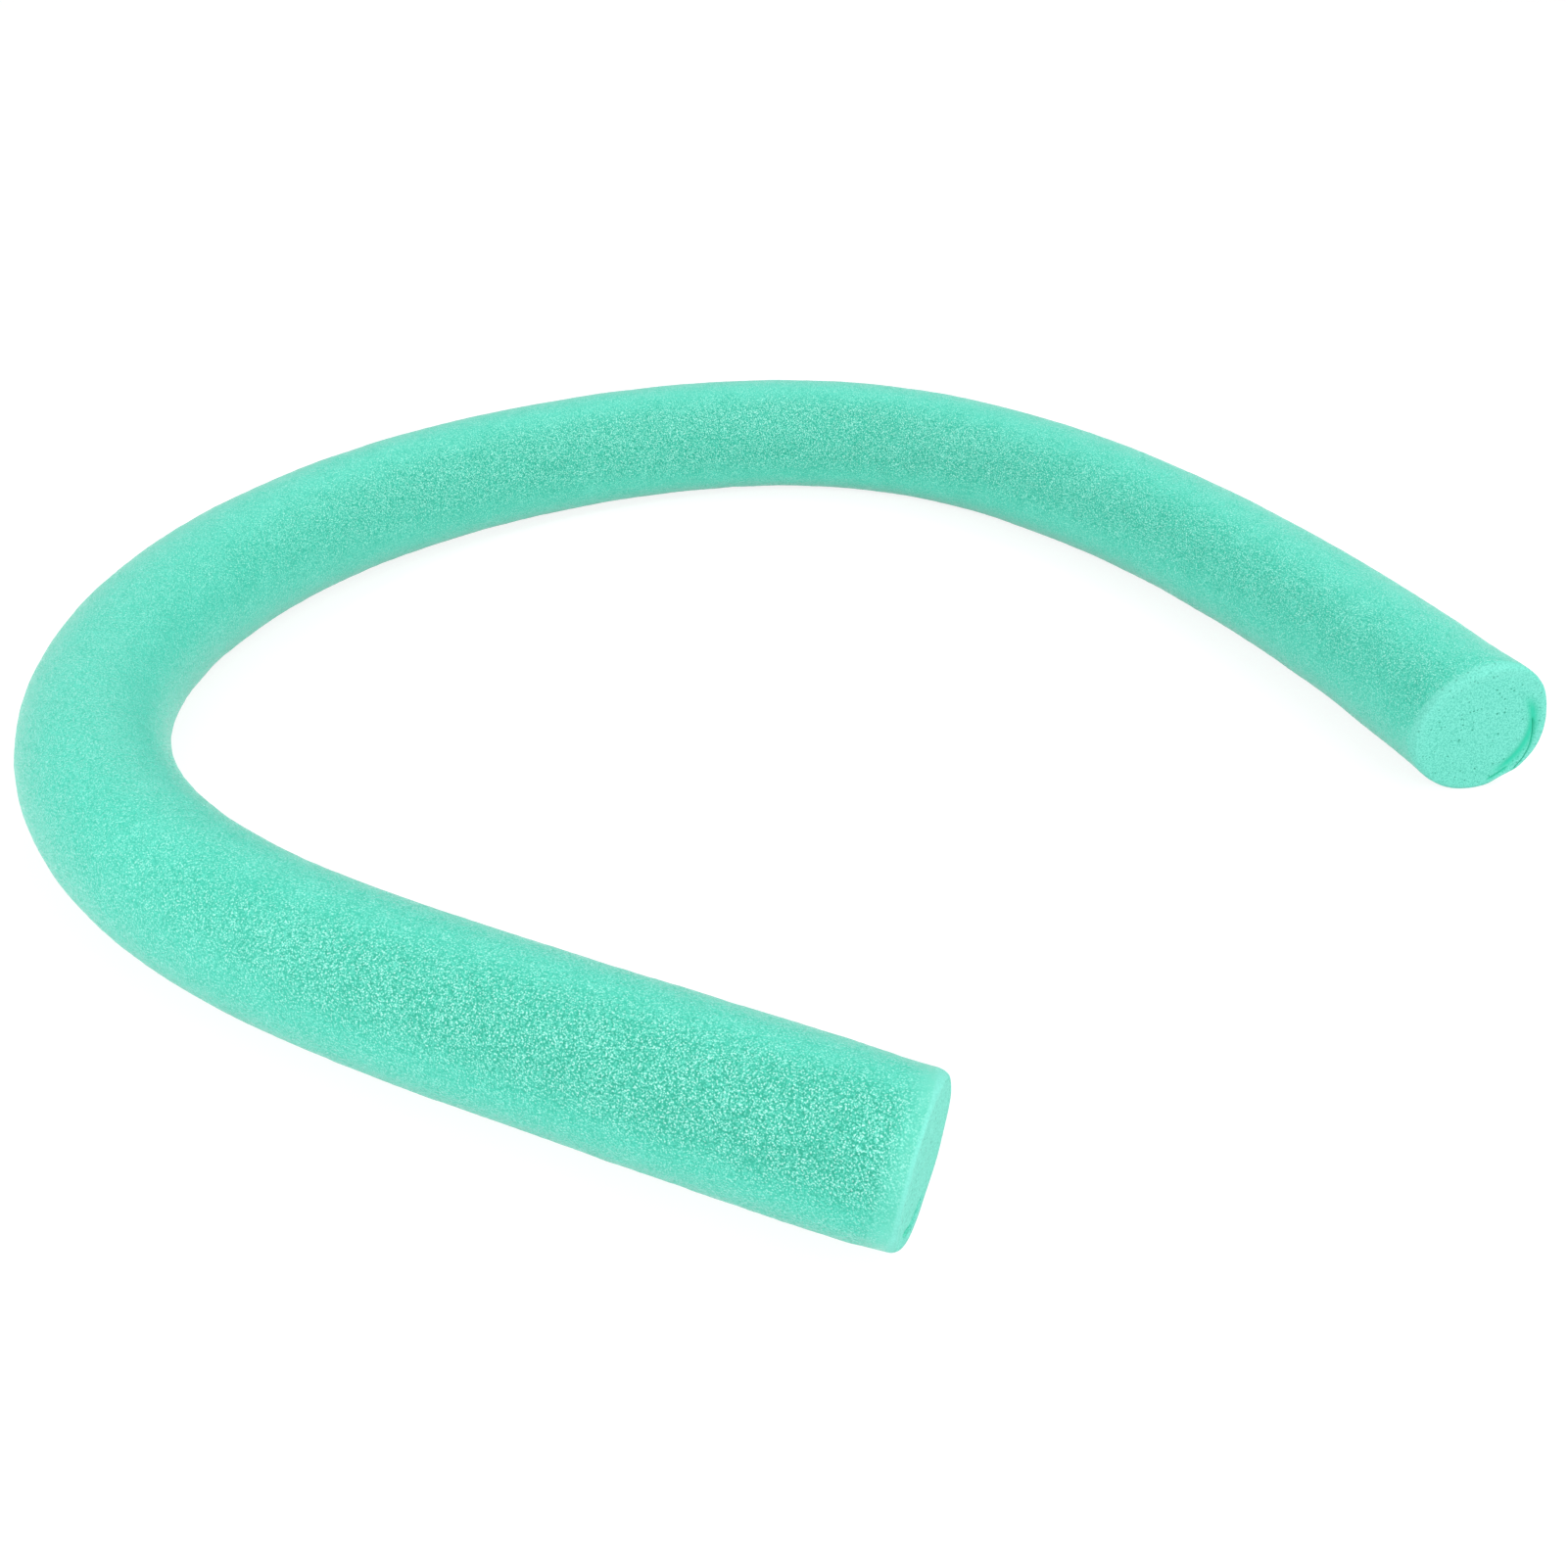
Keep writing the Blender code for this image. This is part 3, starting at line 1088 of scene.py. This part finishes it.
        # Painted shade: the creases of the cut face are coloured darker green.
        face = wiring.mixed(groove, face, finish.groove)
        cut_height = wiring.math("MULTIPLY", fine.outputs["Height"], finish.cut_height)
        cut_height = wiring.math("MULTIPLY_ADD", pit, -finish.pit_depth, cut_height)
        height = wiring.blended(cut, height, cut_height)
        roughness = wiring.blended(cut, roughness, finish.cut_roughness)
        gloss = wiring.blended(cut, gloss, 0.0)
        return wiring.mixed(cut, colour, face), roughness, height, gloss


@dataclass
class Noodle:
    """The whole noodle: its rod and how the stretches that dress it are made."""

    materials: FoamMaterials
    fineness: Fineness = field(default_factory=Fineness)
    joint_count: int = len(frame["joints"])

    def rod(self) -> FoamRod:
        """The rod's surface, laid through the frame's joints."""
        path = RodPath()
        joints = sorted(frame["joints"], key=lambda joint: joint["name"])
        places = np.array([joint["pos_m"][:2] for joint in joints])
        stations = np.arange(1, self.joint_count + 1) * path.length / (self.joint_count + 1)
        near = CutEnd(
            station=0.0, inwards=1, longer=1.0 * MM, skew_deg=-3.2, lean_deg=-3.4, soft_side_deg=225.0,
            tight_rim=Rim(reach=1.7 * MM, depth=1.0 * MM), soft_rim=Rim(reach=7.8 * MM, depth=4.9 * MM),
            band_width=2.4 * MM, band_blur=1.0 * MM, band_paleness=0.6, calm_reach=15 * MM,
            girth=Girth(
                flare_height=-0.5 * MM, flare_reach=80 * MM, waist_depth=0.15 * MM, waist_back=12 * MM,
                waist_width=6 * MM,
                dents=(SideDent(middle_deg=-48, spread_deg=45, depth=1.35 * MM, reach=20 * MM),),
            ),
            creases=(
                Crease(radius=18.5 * MM, drift=6.5 * MM, from_deg=-104, to_deg=-28, inner_width=1.5 * MM,
                       outer_width=1.0 * MM, depth=1.5 * MM, lip_height=0.3 * MM),
            ),
            face_wave=Swell(size=16 * MM, height=0.25 * MM, seed=31),
            rim_wave=Swell(size=24 * MM, height=0.30 * MM, seed=33),
        )
        far = CutEnd(
            station=path.length, inwards=-1, longer=0.0, skew_deg=6.0, lean_deg=0.0, soft_side_deg=188.0,
            tight_rim=Rim(reach=3.0 * MM, depth=1.3 * MM), soft_rim=Rim(reach=8.0 * MM, depth=4.4 * MM),
            girth=Girth(
                flare_height=1.2 * MM, flare_reach=110 * MM, waist_depth=0.1 * MM, waist_back=14 * MM,
                waist_width=7 * MM,
                dents=(
                    SideDent(middle_deg=-57, spread_deg=15, depth=1.1 * MM, reach=14 * MM),
                    SideDent(middle_deg=12, spread_deg=42, depth=1.1 * MM, reach=30 * MM),
                    SideDent(middle_deg=72, spread_deg=58, depth=-2.25 * MM, reach=41 * MM),
                    SideDent(middle_deg=-131, spread_deg=60, depth=1.5 * MM, reach=70 * MM),
                ),
            ),
            creases=(
                Crease(radius=25.4 * MM, drift=1.2 * MM, from_deg=52, to_deg=-74, inner_width=2.5 * MM,
                       outer_width=2.1 * MM, depth=0.95 * MM, lip_height=0.35 * MM, lip_width=1.2 * MM),
                Crease(radius=25.6 * MM, drift=6.6 * MM, from_deg=14, to_deg=-50, inner_width=0.42 * MM,
                       outer_width=0.36 * MM, depth=1.0 * MM, lip_height=0.25 * MM, lip_width=0.8 * MM,
                       fade_share=0.12),
                Crease(radius=28.6 * MM, drift=0.4 * MM, from_deg=-45, to_deg=-72, inner_width=0.6 * MM,
                       outer_width=0.5 * MM, depth=1.0 * MM, lip_height=0.2 * MM, lip_width=0.8 * MM,
                       fade_share=0.2),
            ),
            face_wave=Swell(size=16 * MM, height=0.25 * MM, seed=41),
            rim_wave=Swell(size=24 * MM, height=0.25 * MM, seed=43),
        )
        ends = {Stretch.NEAR_END: near, Stretch.FAR_END: far}
        return FoamRod(path.moved_to(stations, places), Relief(), ends)

    def build(self) -> None:
        """Model, dress and hang every stretch."""
        rod = self.rod()
        for joint in range(1, self.joint_count + 1):
            stretch = FoamStretch(rod, joint, self.joint_count, self.fineness)
            whole = stretch.model()
            is_middle = stretch.which is Stretch.MIDDLE
            whole.data.materials.clear()
            whole.data.materials.append(self.materials.skin if is_middle else self.materials.skin_and_cut)
            stretch.hang()
            log.info("%s: %d faces", whole.name, len(whole.data.polygons))


@dataclass(frozen=True)
class Softbox:
    """A soft rectangular lamp that shines on the middle of the noodle."""

    name: str
    azimuth_deg: float
    height_deg: float
    size: tuple[float, float]
    watts: float
    distance: float = 2.2

    def hang(self) -> None:
        """Add the lamp to the scene."""
        round_about, upwards = math.radians(self.azimuth_deg), math.radians(self.height_deg)
        level = self.distance * math.cos(upwards)
        place = Vector((level * math.cos(round_about), level * math.sin(round_about),
                        self.distance * math.sin(upwards)))
        data = bpy.data.lights.new(self.name, "AREA")
        data.shape = "RECTANGLE"
        data.size, data.size_y = self.size
        data.energy = self.watts
        lamp = bpy.data.objects.new(self.name, data)
        lamp.location = place
        lamp.rotation_euler = (-place).to_track_quat("-Z", "Y").to_euler()
        bpy.context.scene.collection.objects.link(lamp)


@dataclass(frozen=True)
class Studio:
    """The plain pale floor, the soft light and the camera."""

    camera_place: tuple[float, float, float] = (-0.0016, -0.7205, 0.4569)
    camera_pitch_deg: float = 33.88
    camera_roll_deg: float = 1.39
    lens_mm: float = 39.84
    sensor_mm: float = 36.0
    floor_size: float = 30.0
    floor_drop: float = 0.1 * MM
    floor_white: Colour = (0.90, 0.90, 0.90, 1.0)
    floor_glow_share: float = 0.75
    floor_glow: float = 1.13
    sky_light: float = 0.52
    softboxes: tuple[Softbox, ...] = (
        Softbox(name="key", azimuth_deg=225, height_deg=37, size=(0.32, 0.32), watts=17.0),
        Softbox(name="front_left", azimuth_deg=205, height_deg=14, size=(1.2, 0.9), watts=3.0),
        Softbox(name="front_right", azimuth_deg=315, height_deg=25, size=(1.2, 1.0), watts=13.4),
        Softbox(name="right", azimuth_deg=0, height_deg=55, size=(1.2, 1.0), watts=14.6),
        Softbox(name="back", azimuth_deg=90, height_deg=62, size=(1.2, 1.0), watts=8.0),
    )

    def set_up(self) -> None:
        """Make the floor, the light and the camera."""
        self.floor()
        self.sky()
        for softbox in self.softboxes:
            softbox.hang()
        self.camera()
        bpy.context.scene.view_settings.view_transform = "Standard"

    def floor(self) -> None:
        """A white floor that shows as white and keeps a faint shadow."""
        deselect_all()
        bpy.ops.mesh.primitive_plane_add(size=self.floor_size, location=(0.0, 0.0, -self.floor_drop))
        floor = bpy.context.object
        floor.name = "studio_floor"
        material = bpy.data.materials.new("white_floor")
        material.use_nodes = True
        wiring = Wiring(material.node_tree)
        seen = self.seen(wiring)
        matt = wiring.node("ShaderNodeBsdfDiffuse", {"Color": self.floor_white})
        glow = wiring.node("ShaderNodeEmission", {"Color": WHITE, "Strength": self.floor_glow})
        share = wiring.math("MULTIPLY", seen, self.floor_glow_share)
        both = wiring.node("ShaderNodeMixShader", {0: share, 1: matt.outputs[0], 2: glow.outputs[0]})
        wiring.node("ShaderNodeOutputMaterial", {"Surface": both.outputs[0]})
        floor.data.materials.append(material)

    @staticmethod
    def seen(wiring: Wiring) -> Socket:
        """Tell what is only seen from what lights the noodle.

        Args:
            wiring: the wiring of the material or of the world.

        Returns:
            1 for rays from the camera, from a gloss or through glass, and 0 for the light itself.
        """
        rays = wiring.node("ShaderNodeLightPath").outputs
        either = wiring.math("MAXIMUM", rays["Is Camera Ray"], rays["Is Glossy Ray"])
        return wiring.math("MAXIMUM", either, rays["Is Transmission Ray"])

    def sky(self) -> None:
        """White surroundings that light the noodle evenly."""
        world = bpy.data.worlds.new("white_tent")
        world.use_nodes = True
        bpy.context.scene.world = world
        wiring = Wiring(world.node_tree)
        seen = self.seen(wiring)
        strength = wiring.mapped(seen, 0.0, 1.0, self.sky_light, 1.0)
        background = wiring.node("ShaderNodeBackground", {"Color": WHITE, "Strength": strength})
        wiring.node("ShaderNodeOutputWorld", {"Surface": background.outputs[0]})

    def camera(self) -> None:
        """The camera at the photograph's place and angle."""
        data = bpy.data.cameras.new("camera")
        data.lens = self.lens_mm
        data.sensor_width = self.sensor_mm
        camera = bpy.data.objects.new("camera", data)
        tilt = Matrix.Rotation(math.radians(90.0 - self.camera_pitch_deg), 4, "X")
        roll = Matrix.Rotation(math.radians(self.camera_roll_deg), 4, "Z")
        camera.matrix_world = Matrix.Translation(self.camera_place) @ tilt @ roll
        bpy.context.scene.collection.objects.link(camera)
        bpy.context.scene.camera = camera


def main() -> None:
    """Build the noodle and its studio."""
    logging.basicConfig(level=logging.INFO, format="%(name)s: %(message)s")
    Noodle(materials=FoamMaterials(FoamFinish())).build()
    Studio().set_up()


if __name__ == "__main__":
    main()
